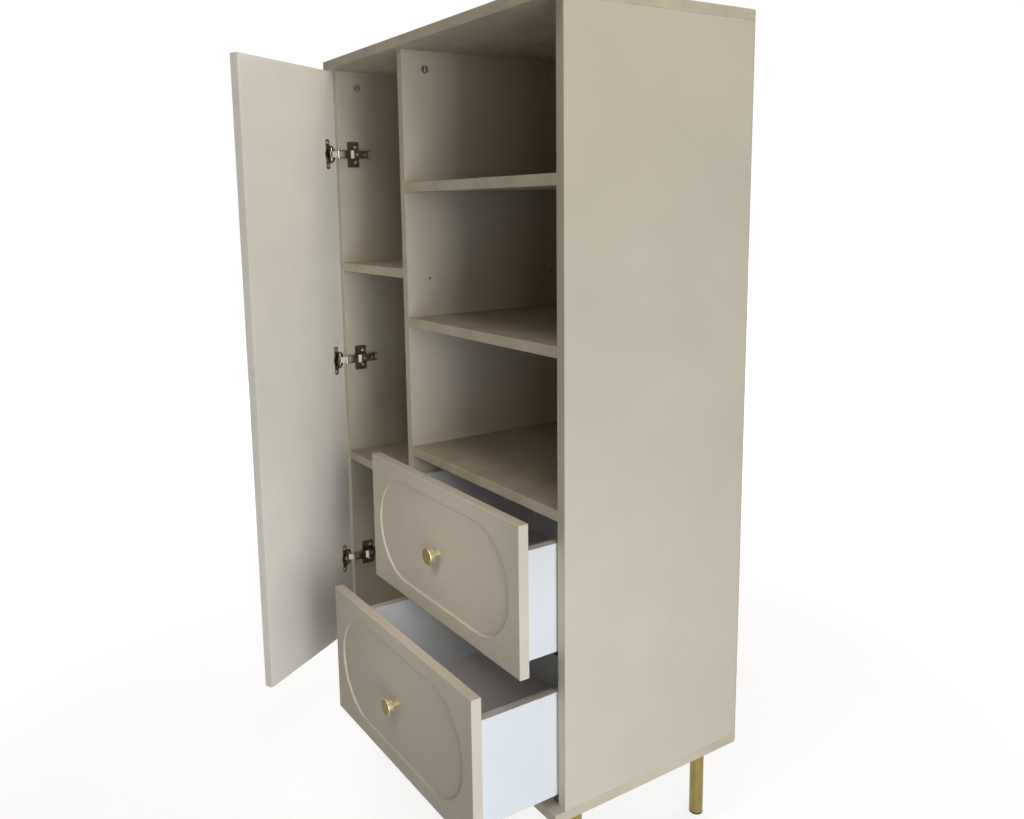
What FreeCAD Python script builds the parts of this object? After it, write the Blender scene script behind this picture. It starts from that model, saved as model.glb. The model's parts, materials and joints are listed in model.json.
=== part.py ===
import FreeCAD, Part
import os

# Tall storage cabinet: a hinged door on the left, three open niches and two drawers on the right,
# standing on four brass legs. Millimetres, +Z up, origin on the floor under the middle of the case.
# The fronts face -Y. Door and drawers stand part open, as they are photographed.

# The case
case_width = 800.0
case_height = 1300.0
side_depth = 397.0
board = 18.0
back_board = 3.0
back_inset = 2.0
cap_edge_round = 2.0
cupboard_width = 279.0
drawer_bay_height = 485.0
niche_height = 240.0

# The fronts
front_thick = 18.0
front_gap = 2.0
front_reveal = 1.5
front_spacing = 3.0
front_end_gap = 2.0
front_edge_round = 1.5
recess_inset = 28.0
recess_depth = 3.5
recess_slope = 1.5

# Positions of the moving parts at rest
door_angle = 59.0
upper_pull = 66.0
lower_pull = 155.0

# The axis the door swings about between shut and its rest angle, from the left side's outer face
# and from its front edge
axis_from_side = 5.5
axis_before_edge = 13.0

# Cup hinges
lower_hinge_from_end = 178.0
upper_hinge_from_end = 174.0
middle_hinge_rise = 8.0
cup_radius = 17.5
cup_depth = 12.0
cup_wall = 1.0
cup_from_edge = 22.0
flange_width = 13.0
flange_offset = 9.5
flange_thick = 1.5
flange_lip = 1.3
flange_round = 3.2
cup_screw_spacing = 48.0
flange_past_screw = 7.0
plate_line = 40.0
plate_front = 20.0
plate_width = 27.5
plate_thick = 2.0
plate_round = 2.5
plate_screw_spacing = 32.0
plate_past_screw = 11.3
rib_width = 13.0
rib_height = 6.0
rib_front = 18.0
rib_rear = 63.0
arm_width = 17.0
arm_gauge = 1.5
arm_rise = 15.0
arm_tail = 72.0
arm_shoulder = 57.5
arm_tail_drop = 3.75
bridge_front = 28.0
bridge_rear = 40.0
bridge_rise = 4.0
bridge_ramp = 6.0
arm_clearance = 0.4
pivot_radius = 1.5
pivot_from_axis = 27.0
eye_radius = 3.0
fork_depth = 9.0
cup_pin_from_edge = 12.0
cup_pin_depth = 3.0
link_thick = 2.8
link_bend_along = 12.5
link_bend_out = 5.0
link_clearance = 0.5

# Knobs
knob_radius = 15.0
knob_head = 10.5
knob_stem_radius = 6.0
knob_length = 25.0
knob_round = 1.2
stud_radius = 2.0
stud_in_knob = 9.0
stud_in_front = 10.0
door_knob_from_edge = 52.0

# Drawer boxes
drawer_wall = 16.0
drawer_side_gap = 5.0
box_top_drop = 53.0
box_bottom_rise = 14.0
box_length = 350.0
floor_thick = 4.0
floor_rise = 13.0
floor_groove = 6.0
peg_steps = (0.4, 0.8)

# Concealed drawer runners, measured inwards from the case wall and from the box's lower edge
runner_gauge = 1.2
runner_drop = 9.0
runner_flange = 33.0
channel_start = 24.0
channel_width = 24.0
channel_wall = 10.0
runner_front_inset = 3.0
runner_shortfall = 5.0
runner_play = 0.5
runner_screw_steps = (0.25, 0.75)
clip_length = 30.0
clip_width = 34.0
lever_width = 13.5
lever_length = 10.0
rail_leg = 8.0

# Fittings that join the boards
cam_radius = 7.5
cam_thick = 12.5
cam_from_end = 34.0
cam_from_edge = 50.0
cam_slot = 1.6
cam_slot_reach = 5.2
bolt_radius = 3.5
bolt_in_board = 11.0
dowel_radius = 4.0
dowel_length = 30.0
dowel_in_board = 11.0
dowel_from_cam = 32.0
pin_radius = 2.5
pin_in_board = 9.0
pin_out = 8.0
screw_radius = 1.9
screw_length = 12.0
screw_head_radius = 4.0
screw_head = 1.4
nail_radius = 0.9
nail_length = 16.0
nail_head_radius = 2.6
nail_head = 0.8
nail_spacing = 210.0

# Legs
leg_height = 150.0
leg_radius = 12.5
leg_wall = 1.5
leg_from_side = 47.0
leg_from_rear = 47.0
leg_from_front = 57.0
leg_plate_thick = 3.0
leg_plate_round = 6.0
leg_screw_offset = 19.0
leg_plate_past_screw = 7.0
glide_height = 4.0
glide_plug = 12.0
glide_chamfer = 1.0

# Clearances
fit = 0.15
end_play = 1.0
tiny = 1e-6

# Levels and planes that follow from the sizes above
Vec = FreeCAD.Vector
left = -case_width / 2
right = case_width / 2
front_overhang = front_thick + front_gap
runner_length = box_length - runner_shortfall
case_depth = front_overhang + side_depth + back_board
y_front = -case_depth / 2
y_edge = y_front + front_overhang
y_rear = y_edge + side_depth
z_base = leg_height
z_floor = z_base + board
z_top = z_base + case_height
z_ceiling = z_top - board
cupboard_left = left + board
partition_left = cupboard_left + cupboard_width
partition_right = partition_left + board
niche_right = right - board
front_split = partition_left + board / 2
bay_ceiling = z_floor + drawer_bay_height
y_front_inner = y_edge - front_gap
cam_lines = (y_edge + cam_from_edge, y_rear - cam_from_edge)
dowel_lines = (cam_lines[0] + dowel_from_cam, cam_lines[1] - dowel_from_cam)

shelf_tops = {
    "drawer_bay_top": bay_ceiling + board,
    "niche_shelf_lower": bay_ceiling + 2 * board + niche_height,
    "niche_shelf_upper": bay_ceiling + 3 * board + 2 * niche_height,
}
cupboard_space = (z_ceiling - z_floor - 2 * board) / 3
cupboard_tops = {
    "cupboard_shelf_lower": z_floor + cupboard_space + board,
    "cupboard_shelf_upper": z_floor + 2 * (cupboard_space + board),
}

door_span = (left + front_reveal, front_split - front_reveal)
drawer_span = (front_split + front_reveal, right - front_reveal)
fronts_low = z_floor + front_end_gap
drawer_top = bay_ceiling + board - front_reveal
drawer_height = (drawer_top - fronts_low - front_spacing) / 2
door_levels = (fronts_low, z_ceiling - front_end_gap)
hinge_levels = (
    door_levels[0] + lower_hinge_from_end,
    (door_levels[0] + door_levels[1]) / 2 + middle_hinge_rise,
    door_levels[1] - upper_hinge_from_end,
)
door_axis = Vec(left + axis_from_side, y_edge - axis_before_edge, 0)


def block(x, y, z):
    """A box between two values on each axis."""
    low = [min(span) for span in (x, y, z)]
    size = [abs(span[1] - span[0]) for span in (x, y, z)]
    return Part.makeBox(size[0], size[1], size[2], Vec(*low))


def rod(start, direction, radius, length):
    """A cylinder from a point along a direction."""
    return Part.makeCylinder(radius, length, Vec(*start), Vec(*direction))


def prism(points, direction):
    """A straight-sided profile pushed along a vector."""
    return Part.Face(Part.makePolygon(points + points[:1])).extrude(direction)


def slab(width, length, corner, start, thick):
    """A flat plate with rounded corners, centred over a point and thick upwards."""
    x, y, z = start
    plate = block((x - width / 2, x + width / 2), (y - length / 2, y + length / 2), (z, z + thick))
    return plate.makeFillet(corner, edges_along(plate, Vec(0, 0, 1)))


def edges_along(shape, axis):
    """The straight edges of a box that run along one axis."""
    return [e for e in shape.Edges if abs(e.tangentAt(e.FirstParameter).dot(axis)) > 1 - tiny]


def cut_all(body, tools):
    """The body with every tool taken away."""
    return body.cut(tools) if tools else body


def group(shapes):
    """Separate solids kept together in one node."""
    return Part.makeCompound(shapes)


def stadium(centre, width, height):
    """A closed outline in the XZ plane with half-round ends on its shorter sides."""
    radius = min(width, height) / 2
    along = Vec(width / 2 - radius, 0, 0) if width > height else Vec(0, 0, height / 2 - radius)
    across = Vec(0, 0, radius) if width > height else Vec(-radius, 0, 0)
    tip = Vec(radius, 0, 0) if width > height else Vec(0, 0, radius)
    a, b = centre + along + across, centre + along - across
    c, d = centre - along - across, centre - along + across
    far = Part.Arc(a, centre + along + tip, b).toShape()
    near = Part.Arc(c, centre - along - tip, d).toShape()
    return Part.Wire([far, Part.makeLine(b, c), near, Part.makeLine(d, a)])


def front_panel(x, z):
    """A door or drawer front with eased outer edges and the long oval field sunk into its face."""
    face = y_front_inner - front_thick
    panel = block(x, (face, y_front_inner), z)
    rim = [e for e in panel.Edges if abs(e.CenterOfMass.y - face) < tiny]
    panel = panel.makeFillet(front_edge_round, rim)
    width = x[1] - x[0] - 2 * recess_inset
    height = z[1] - z[0] - 2 * recess_inset
    middle = Vec((x[0] + x[1]) / 2, face, (z[0] + z[1]) / 2)
    mouth = stadium(middle, width, height)
    bed = stadium(middle + Vec(0, recess_depth, 0), width - 2 * recess_slope, height - 2 * recess_slope)
    return panel.cut(Part.makeLoft([mouth, bed], True, True))


def knob(x, z):
    """A turned disc knob on a straight stem, standing on the sunk field, with a hole for its stud."""
    seat = y_front_inner - front_thick + recess_depth
    back = knob_length - knob_head
    outline = [Vec(0, 0, 0), Vec(knob_stem_radius, 0, 0), Vec(knob_stem_radius, -back, 0)]
    outline += [Vec(knob_radius, -back, 0), Vec(knob_radius, -knob_length, 0), Vec(0, -knob_length, 0)]
    turned = Part.Face(Part.makePolygon(outline + outline[:1])).revolve(Vec(0, 0, 0), Vec(0, 1, 0), 360)
    rims = [e for e in turned.Edges if e.Closed and abs(e.BoundBox.XMax - knob_radius) < tiny]
    turned = turned.makeFillet(knob_round, rims)
    turned.translate(Vec(x, seat, z))
    return turned.cut(stud(x, z, fit))


def stud(x, z, ease=0.0):
    """The threaded stud between a knob and its front, or the hole that takes it."""
    seat = y_front_inner - front_thick + recess_depth
    length = stud_in_knob + stud_in_front + 2 * ease
    return rod((x, seat - stud_in_knob - ease, z), (0, 1, 0), stud_radius + ease, length)


def screw(start, direction, ease=0.0):
    """A screw whose head sits on the starting point, or the hole that takes it."""
    shank = rod(start, direction, screw_radius + ease, screw_length + ease)
    if ease:
        return shank
    outward = [-step for step in direction]
    return shank.fuse(rod(start, outward, screw_head_radius, screw_head))


def upright_middles():
    """The middle planes of the boards that stand between the bottom and the top."""
    return (left + board / 2, partition_left + board / 2, right - board / 2)


def cam_sites():
    """Each cam: the face it sits in, the way in, its height, its depth line and its seam."""
    sites = []
    for face, inward in ((cupboard_left, -1), (partition_right, -1), (niche_right, 1)):
        for seam, away in ((z_floor, 1), (z_ceiling, -1)):
            sites += [(face, inward, seam, away, y) for y in cam_lines]
    return sites


def cam_housing(site, ease=0.0):
    """An eccentric housing set flush into a board's face, or its pocket."""
    face, inward, seam, away, y = site
    start = (face, y, seam + away * cam_from_end)
    return rod(start, (inward, 0, 0), cam_radius + ease, cam_thick + ease)


def cam_bolt(site, ease=0.0):
    """The bolt from the top or bottom board into the middle of its cam, or its bore."""
    face, inward, seam, away, y = site
    middle = face + inward * board / 2
    start = (middle, y, seam - away * (bolt_in_board + ease))
    return rod(start, (0, 0, away), bolt_radius + ease, bolt_in_board + cam_from_end + 2 * ease)


def finished_cam(site):
    """A housing with its bolt bore and the crossed driver slots in its face."""
    face, inward, seam, away, y = site
    level = seam + away * cam_from_end
    depth = (face, face + inward * cam_slot)
    reach = cam_slot_reach
    slots = [
        block(depth, (y - reach, y + reach), (level - cam_slot / 2, level + cam_slot / 2)),
        block(depth, (y - cam_slot / 2, y + cam_slot / 2), (level - reach, level + reach)),
    ]
    return cam_housing(site).cut(slots + [cam_bolt(site, fit)])


def dowel(start, direction, ease=0.0):
    """A dowel whose shorter end is in the board behind the starting point, or its hole."""
    play = end_play if ease else 0
    begin = [s - d * (dowel_in_board + play) for s, d in zip(start, direction)]
    return rod(begin, direction, dowel_radius + ease, dowel_length + 2 * play)


def upright_dowels(ease=0.0):
    """Dowels between the upright boards and the top and bottom boards."""
    seams = ((z_floor, (0, 0, 1)), (z_ceiling, (0, 0, -1)))
    return [
        dowel((x, y, seam), way, ease)
        for x in upright_middles()
        for seam, way in seams
        for y in dowel_lines
    ]


def shelf_dowels(ease=0.0):
    """Dowels between the fixed niche shelves and the two boards beside them."""
    ends = ((partition_right, (1, 0, 0)), (niche_right, (-1, 0, 0)))
    return [
        dowel((x, y, top - board / 2), way, ease)
        for top in shelf_tops.values()
        for x, way in ends
        for y in dowel_lines
    ]


def shelf_pins():
    """Pins under the loose cupboard shelves, pushed into the boards on both sides."""
    pins = []
    for top in cupboard_tops.values():
        level = top - board - pin_radius
        for x, way in ((cupboard_left, 1), (partition_left, -1)):
            start = x - way * pin_in_board
            for y in cam_lines:
                pins.append(rod((start, y, level), (way, 0, 0), pin_radius, pin_in_board + pin_out))
    return pins


def pin_holes():
    """Blind holes in the left side, and holes bored right through the partition."""
    holes = []
    for top in cupboard_tops.values():
        level = top - board - pin_radius
        for y in cam_lines:
            start = (cupboard_left - pin_in_board - end_play, y, level)
            holes.append(rod(start, (1, 0, 0), pin_radius + fit, pin_in_board + end_play))
            start = (partition_left, y, level)
            holes.append(rod(start, (1, 0, 0), pin_radius + fit, board))
    return holes


def hinge_plate_screws(ease=0.0):
    """Two screws through the wings of every mounting plate into the left side."""
    face = cupboard_left + plate_thick
    places = [z + way * plate_screw_spacing / 2 for z in hinge_levels for way in (-1, 1)]
    return [screw((face, y_edge + plate_line, z), (-1, 0, 0), ease) for z in places]


def runner_levels():
    """The lower edge of each drawer box."""
    low = fronts_low + box_bottom_rise
    return {"lower": low, "upper": low + drawer_height + front_spacing}


def runner_walls():
    """The case walls that carry runners, with the way from each wall into the bay."""
    return ((partition_right, 1), (niche_right, -1))


def runner_screws(level, ease=0.0):
    """Screws that hold the case rails of one drawer to the walls."""
    height = level + runner_flange / 2
    return [
        screw((wall + way * runner_gauge, y_edge + runner_length * step, height), (-way, 0, 0), ease)
        for wall, way in runner_walls()
        for step in runner_screw_steps
    ]


def leg_places():
    """The centres of the four legs, by name."""
    x = case_width / 2 - leg_from_side
    front, rear = y_edge + leg_from_front, y_rear - leg_from_rear
    return {
        "leg_front_left": (-x, front),
        "leg_front_right": (x, front),
        "leg_rear_left": (-x, rear),
        "leg_rear_right": (x, rear),
    }


def leg_screws(ease=0.0):
    """Four screws up through each leg plate into the bottom board."""
    steps = (-leg_screw_offset, leg_screw_offset)
    under = z_base - leg_plate_thick
    return [
        screw((x + a, y + b, under), (0, 0, 1), ease)
        for x, y in leg_places().values()
        for a in steps
        for b in steps
    ]


def back_nails(ease=0.0):
    """Nails round the edge of the back board into the boards in front of it."""
    inner = board / 2
    across = round((case_width - board) / nail_spacing)
    upward = round((case_height - board) / nail_spacing)
    xs = [left + inner + (case_width - board) * i / across for i in range(across + 1)]
    zs = [z_base + inner + (case_height - board) * i / upward for i in range(upward + 1)]
    spots = [(x, z) for x in xs for z in (zs[0], zs[-1])]
    spots += [(x, z) for z in zs[1:-1] for x in (xs[0], partition_left + inner, xs[-1])]
    skin = y_rear + back_board
    nails = []
    for x, z in spots:
        nail = rod((x, skin, z), (0, -1, 0), nail_radius + ease, nail_length + ease)
        if not ease:
            nail = nail.fuse(rod((x, skin, z), (0, 1, 0), nail_head_radius, nail_head))
        nails.append(nail)
    return nails


def capping_board(z, rounded):
    """The top or bottom board, with its long outer edges eased."""
    panel = block((left, right), (y_front, y_rear), z)
    ends = [e for e in edges_along(panel, Vec(0, 1, 0)) if abs(e.CenterOfMass.z - rounded) < tiny]
    return panel.makeFillet(cap_edge_round, ends)


def case_boards():
    """The boards of the case with the bores for everything that joins them."""
    cams = cam_sites()
    pockets = [cam_housing(site, fit) for site in cams]
    bores = [cam_bolt(site, fit) for site in cams]
    pegs = upright_dowels(fit)
    shelf_pegs = shelf_dowels(fit)
    nails = back_nails(fit)
    hinges = hinge_plate_screws(fit)
    rails = [hole for level in runner_levels().values() for hole in runner_screws(level, fit)]
    depth = (y_edge, y_rear)
    height = (z_floor, z_ceiling)
    plain = {
        "top_panel": (capping_board((z_ceiling, z_top), z_top), bores + pegs + nails),
        "bottom_panel": (capping_board((z_base, z_floor), z_base), bores + pegs + nails + leg_screws(fit)),
        "left_side": (
            block((left, cupboard_left), depth, height),
            pockets + bores + pegs + pin_holes() + hinges + nails,
        ),
        "partition": (
            block((partition_left, partition_right), depth, height),
            pockets + bores + pegs + pin_holes() + shelf_pegs + rails + nails,
        ),
        "right_side": (
            block((niche_right, right), depth, height),
            pockets + bores + pegs + shelf_pegs + rails + nails,
        ),
    }
    for name, top in shelf_tops.items():
        plain[name] = (block((partition_right, niche_right), depth, (top - board, top)), shelf_pegs)
    for name, top in cupboard_tops.items():
        span = (cupboard_left + end_play, partition_left - end_play)
        plain[name] = (block(span, depth, (top - board, top)), [])
    skin = block(
        (left + back_inset, right - back_inset),
        (y_rear, y_rear + back_board),
        (z_base + back_inset, z_top - back_inset),
    )
    plain["back_panel"] = (skin, nails)
    return {name: cut_all(*made) for name, made in plain.items()}


def legs():
    """Four tube legs with screw-on top plates and plastic glides."""
    nodes, plates, glides = {}, [], []
    under = z_base - leg_plate_thick
    bore = leg_radius - leg_wall
    size = 2 * (leg_screw_offset + leg_plate_past_screw)
    for name, (x, y) in leg_places().items():
        tube = rod((x, y, glide_height), (0, 0, 1), leg_radius, under - glide_height)
        nodes[name] = tube.cut(rod((x, y, glide_height), (0, 0, 1), bore, under - glide_height))
        spigot = rod((x, y, under), (0, 0, -1), bore - fit, glide_plug)
        plate = slab(size, size, leg_plate_round, (x, y, under), leg_plate_thick)
        plates.append(plate.fuse(spigot))
        foot = rod((x, y, 0), (0, 0, 1), leg_radius, glide_height)
        rim = [e for e in foot.Edges if e.Closed and e.CenterOfMass.z < tiny]
        foot = foot.makeChamfer(glide_chamfer, rim)
        glides.append(foot.fuse(rod((x, y, glide_height), (0, 0, 1), bore - fit, glide_plug)))
    nodes["leg_plates"] = group(plates).cut(leg_screws(fit))
    nodes["leg_glides"] = group(glides)
    nodes["leg_screws"] = group(leg_screws())
    return nodes


def mounting_plate(level):
    """A cross-shaped hinge plate: two wings on the board and a rib that the arm clips over."""
    end = plate_screw_spacing / 2 + plate_past_screw
    wing = block(
        (cupboard_left, cupboard_left + plate_thick),
        (y_edge + plate_front, y_edge + plate_front + plate_width),
        (level - end, level + end),
    )
    wing = wing.makeFillet(plate_round, edges_along(wing, Vec(1, 0, 0)))
    rib = block(
        (cupboard_left, cupboard_left + rib_height),
        (y_edge + rib_front, y_edge + rib_rear),
        (level - rib_width / 2, level + rib_width / 2),
    )
    return wing.fuse(rib)


def swung(point, angle):
    """A point of the shut door after the door has opened by an angle."""
    return door_axis + FreeCAD.Rotation(Vec(0, 0, 1), -angle).multVec(point - door_axis)


def cup_pin_shut():
    """The place in plan of a cup's pin while the door is shut."""
    return Vec(door_span[0] + cup_pin_from_edge, y_front_inner - cup_pin_depth, 0)


def arm_pin():
    """The place in plan of an arm's pin, as far from the shut cup pin as from the open one."""
    halfway = swung(cup_pin_shut(), door_angle / 2) - door_axis
    return door_axis + halfway.normalize() * pivot_from_axis


def pin_through(place, level, radius, half):
    """An upright pin or bore, as long each way from its level."""
    return rod((place.x, place.y, level - half), (0, 0, 1), radius, 2 * half)


def hinge_arm(level):
    """A pressed channel arm over the mounting plate, with a raised bridge and a forked nose."""
    half = arm_width / 2
    low, high = cupboard_left + rib_height / 2, cupboard_left + arm_rise
    crest = high + bridge_rise
    pivot = arm_pin()
    side = [
        Vec(low, y_edge + arm_tail, level - half),
        Vec(high - arm_tail_drop, y_edge + arm_tail, level - half),
        Vec(high, y_edge + arm_shoulder, level - half),
        Vec(high, y_edge + bridge_rear, level - half),
        Vec(crest, y_edge + bridge_rear, level - half),
        Vec(crest, y_edge + bridge_front, level - half),
        Vec(high, y_edge + bridge_front - bridge_ramp, level - half),
        Vec(pivot.x + eye_radius, pivot.y, level - half),
        Vec(pivot.x - eye_radius, pivot.y, level - half),
        Vec(low, y_edge + rib_front, level - half),
    ]
    arm = prism(side, Vec(0, 0, arm_width)).fuse(pin_through(pivot, level, eye_radius, half))
    inside = (level - half + arm_gauge, level + half - arm_gauge)
    channel = block(
        (low - end_play, high - arm_gauge),
        (y_edge + rib_front - arm_clearance, y_edge + arm_tail + end_play),
        inside,
    )
    fork = block(
        (low - end_play, pivot.x + eye_radius + end_play),
        (pivot.y - eye_radius - end_play, y_edge + fork_depth),
        inside,
    )
    return arm.cut([channel, fork, pin_through(pivot, level, pivot_radius + fit, half)])


def hinge_link(level):
    """The cranked link between the arm's pin and the cup's pin, bent so that it clears the cup's rim."""
    pivot, end = arm_pin(), swung(cup_pin_shut(), door_angle)
    along = (end - pivot).normalize()
    bend = pivot + along * link_bend_along + Vec(0, 0, 1).cross(along) * link_bend_out
    half = arm_width / 2 - arm_gauge - link_clearance
    low = Vec(0, 0, level - half)
    solids = [pin_through(place, level, eye_radius, half) for place in (pivot, end)]
    solids.append(pin_through(bend, level, link_thick / 2, half))
    for start, stop in ((pivot, bend), (bend, end)):
        side = Vec(0, 0, 1).cross(stop - start).normalize() * (link_thick / 2)
        corners = [start + side, stop + side, stop - side, start - side]
        solids.append(prism([corner + low for corner in corners], Vec(0, 0, 2 * half)))
    link = solids[0].fuse(solids[1:])
    return link.cut([pin_through(place, level, pivot_radius + fit, half) for place in (pivot, end)])


def hinges():
    """The hinge parts that stay on the case, and the links that swing out of them."""
    pins = [pin_through(arm_pin(), z, pivot_radius, arm_width / 2) for z in hinge_levels]
    plates = group([mounting_plate(z) for z in hinge_levels])
    return {
        "hinge_mounting_plates": plates.cut(hinge_plate_screws(fit)),
        "hinge_plate_screws": group(hinge_plate_screws()),
        "hinge_arms": group([hinge_arm(z) for z in hinge_levels]),
        "hinge_arm_pins": group(pins),
        "hinge_links": group([hinge_link(z) for z in hinge_levels]),
    }


def hinge_cup(level):
    """A pressed cup let into the door, with a screw flange on the door's inner face."""
    x = door_span[0] + cup_from_edge
    face = y_front_inner
    half = cup_screw_spacing / 2 + flange_past_screw
    wing = block(
        (x + flange_offset - flange_width / 2, x + flange_offset + flange_width / 2),
        (face, face + flange_thick),
        (level - half, level + half),
    )
    wing = wing.makeFillet(flange_round, edges_along(wing, Vec(0, 1, 0)))
    lip = rod((x, face, level), (0, 1, 0), cup_radius + flange_lip, flange_thick)
    bowl = rod((x, face, level), (0, -1, 0), cup_radius, cup_depth)
    depth = flange_thick + cup_depth - cup_wall
    hollow = rod((x, face + flange_thick, level), (0, -1, 0), cup_radius - cup_wall, depth)
    bore = pin_through(cup_pin_shut(), level, pivot_radius + fit, cup_radius)
    return wing.fuse([lip, bowl]).cut([hollow, bore])


def cup_pin(level):
    """The pin across a cup that the link turns on, cut off inside the cup's wall."""
    place = cup_pin_shut()
    x = door_span[0] + cup_from_edge
    bowl = rod((x, y_front_inner, level), (0, -1, 0), cup_radius - fit, cup_depth)
    return pin_through(place, level, pivot_radius, cup_radius).common(bowl)


def cup_screws(ease=0.0):
    """Two screws through each cup's flange into the door."""
    x = door_span[0] + cup_from_edge + flange_offset
    places = [z + way * cup_screw_spacing / 2 for z in hinge_levels for way in (-1, 1)]
    return [screw((x, y_front_inner + flange_thick, z), (0, -1, 0), ease) for z in places]


def door():
    """The door with its hinge cups and knob, built shut and then swung open."""
    x = door_span[0] + cup_from_edge
    sink = cup_depth + fit
    pockets = [rod((x, y_front_inner, z), (0, -1, 0), cup_radius + fit, sink) for z in hinge_levels]
    knob_x = door_span[1] - door_knob_from_edge
    knob_z = (door_levels[0] + door_levels[1]) / 2
    nodes = {
        "door_panel": front_panel(door_span, door_levels).cut(
            pockets + cup_screws(fit) + [stud(knob_x, knob_z, fit)]
        ),
        "hinge_cups": group([hinge_cup(z) for z in hinge_levels]).cut(cup_screws(fit)),
        "hinge_cup_pins": group([cup_pin(z) for z in hinge_levels]),
        "hinge_cup_screws": group(cup_screws()),
        "door_knob": knob(knob_x, knob_z),
        "door_knob_stud": stud(knob_x, knob_z),
    }
    for shape in nodes.values():
        shape.rotate(door_axis, Vec(0, 0, 1), -door_angle)
    return nodes


def case_rail(level, wall, way):
    """The fixed channel of a concealed runner, with its flange screwed to the wall."""
    y = (y_edge + runner_front_inset, y_edge + runner_front_inset + runner_length)
    low = level - runner_drop
    inner = channel_start + channel_width
    flange = block((wall, wall + way * runner_gauge), y, (low, low + runner_flange))
    web = block((wall, wall + way * inner), y, (low, low + runner_gauge))
    walls = [
        block((wall + way * d, wall + way * (d + runner_gauge)), y, (low, low + channel_wall))
        for d in (channel_start, inner - runner_gauge)
    ]
    return flange.fuse([web] + walls)


def middle_rail(level, wall, way):
    """The tube that runs in the case channel and carries the drawer's own rail."""
    y = (y_edge + clip_length + 2 * runner_front_inset, y_edge + runner_length)
    low = level - runner_drop + runner_gauge + runner_play
    high = level + floor_rise - runner_gauge - runner_play
    inner = channel_start + runner_gauge + runner_play
    outer = channel_start + channel_width - runner_gauge - runner_play
    tube = block((wall + way * inner, wall + way * outer), y, (low, high))
    hollow = block(
        (wall + way * (inner + runner_gauge), wall + way * (outer - runner_gauge)),
        y,
        (low + runner_gauge, high - runner_gauge),
    )
    return tube.cut(hollow)


def drawer_rail(level, wall, way):
    """The inverted channel under the drawer floor."""
    y = (y_edge + clip_length + runner_front_inset, y_front_inner + box_length)
    high = level + floor_rise
    start = channel_start - runner_gauge - runner_play
    stop = channel_start + channel_width + runner_gauge + runner_play
    web = block((wall + way * start, wall + way * stop), y, (high - runner_gauge, high))
    legs_down = [
        block((wall + way * d, wall + way * (d + runner_gauge)), y, (high - rail_leg, high))
        for d in (start, stop - runner_gauge)
    ]
    return web.fuse(legs_down)


def front_clip(level, wall, way):
    """The moulded catch that locks a drawer onto its rail, behind the drawer front."""
    high = level + floor_rise
    start = channel_start - runner_play
    body = block(
        (wall + way * start, wall + way * (start + clip_width)),
        (y_front_inner, y_edge + clip_length),
        (high - rail_leg, high),
    )
    lever = block(
        (wall + way * (start + clip_width), wall + way * (start + clip_width + lever_width)),
        (y_front_inner + lever_length, y_front_inner + 2 * lever_length),
        (high - rail_leg / 2, high),
    )
    return body.fuse(lever)


def drawer_pegs(z, ease=0.0):
    """Dowels that join a drawer's sides to its front and to its back."""
    outer = (partition_right + drawer_side_gap, niche_right - drawer_side_gap)
    back = y_front_inner + box_length - drawer_wall / 2
    levels = [z[0] + (z[1] - z[0]) * step for step in peg_steps]
    pegs = []
    for x, way in ((outer[0], 1), (outer[1], -1)):
        for level in levels:
            pegs.append(dowel((x + way * drawer_wall / 2, y_front_inner, level), (0, 1, 0), ease))
            pegs.append(dowel((x + way * drawer_wall, back, level), (way, 0, 0), ease))
    return pegs


def drawer(name, bottom, pull):
    """One drawer: a front, a box of white boards, its knob and its half of the runners."""
    z = (bottom, bottom + drawer_height)
    low, high = bottom + box_bottom_rise, z[1] - box_top_drop
    outer = (partition_right + drawer_side_gap, niche_right - drawer_side_gap)
    inner = (outer[0] + drawer_wall, outer[1] - drawer_wall)
    y = (y_front_inner, y_front_inner + box_length)
    floor_low, floor_high = low + floor_rise, low + floor_rise + floor_thick
    groove = block((inner[0] - floor_groove - fit, inner[1] + floor_groove + fit), y, (floor_low, floor_high))
    pegs = drawer_pegs((low, high), fit)
    middle = (drawer_span[0] + drawer_span[1]) / 2
    height = (z[0] + z[1]) / 2
    walls = runner_walls()
    nodes = {
        "front": front_panel(drawer_span, z).cut(pegs + [stud(middle, height, fit)]),
        "left_side": block((outer[0], inner[0]), y, (low, high)).cut(pegs + [groove]),
        "right_side": block((inner[1], outer[1]), y, (low, high)).cut(pegs + [groove]),
        "back": block(inner, (y[1] - drawer_wall, y[1]), (floor_high, high)).cut(pegs),
        "bottom": block((inner[0] - floor_groove, inner[1] + floor_groove), y, (floor_low, floor_high)),
        "knob": knob(middle, height),
        "knob_stud": stud(middle, height),
        "dowels": group(drawer_pegs((low, high))),
        "rails": group([drawer_rail(low, wall, way) for wall, way in walls]),
        "clips": group([front_clip(low, wall, way) for wall, way in walls]),
    }
    for shape in nodes.values():
        shape.translate(Vec(0, -pull, 0))
    made = {name + "_drawer_" + piece: shape for piece, shape in nodes.items()}
    middle_rails = group([middle_rail(low, wall, way) for wall, way in walls])
    middle_rails.translate(Vec(0, -pull / 2, 0))
    made[name + "_middle_rails"] = middle_rails
    case_rails = group([case_rail(low, wall, way) for wall, way in walls])
    made[name + "_case_rails"] = case_rails.cut(runner_screws(low, fit))
    return made


def fittings():
    """The small parts that join the boards, each kind in one node."""
    cams = cam_sites()
    rails = [made for level in runner_levels().values() for made in runner_screws(level)]
    return {
        "cam_housings": group([finished_cam(site) for site in cams]),
        "cam_bolts": group([cam_bolt(site) for site in cams]),
        "case_dowels": group(upright_dowels() + shelf_dowels()),
        "shelf_pins": group(shelf_pins()),
        "back_nails": group(back_nails()),
        "runner_screws": group(rails),
    }


def build():
    """Every node of the cabinet by name."""
    nodes = {}
    for made in (case_boards(), fittings(), legs(), hinges(), door()):
        nodes.update(made)
    nodes.update(drawer("lower", fronts_low, lower_pull))
    nodes.update(drawer("upper", fronts_low + drawer_height + front_spacing, upper_pull))
    return nodes


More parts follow.
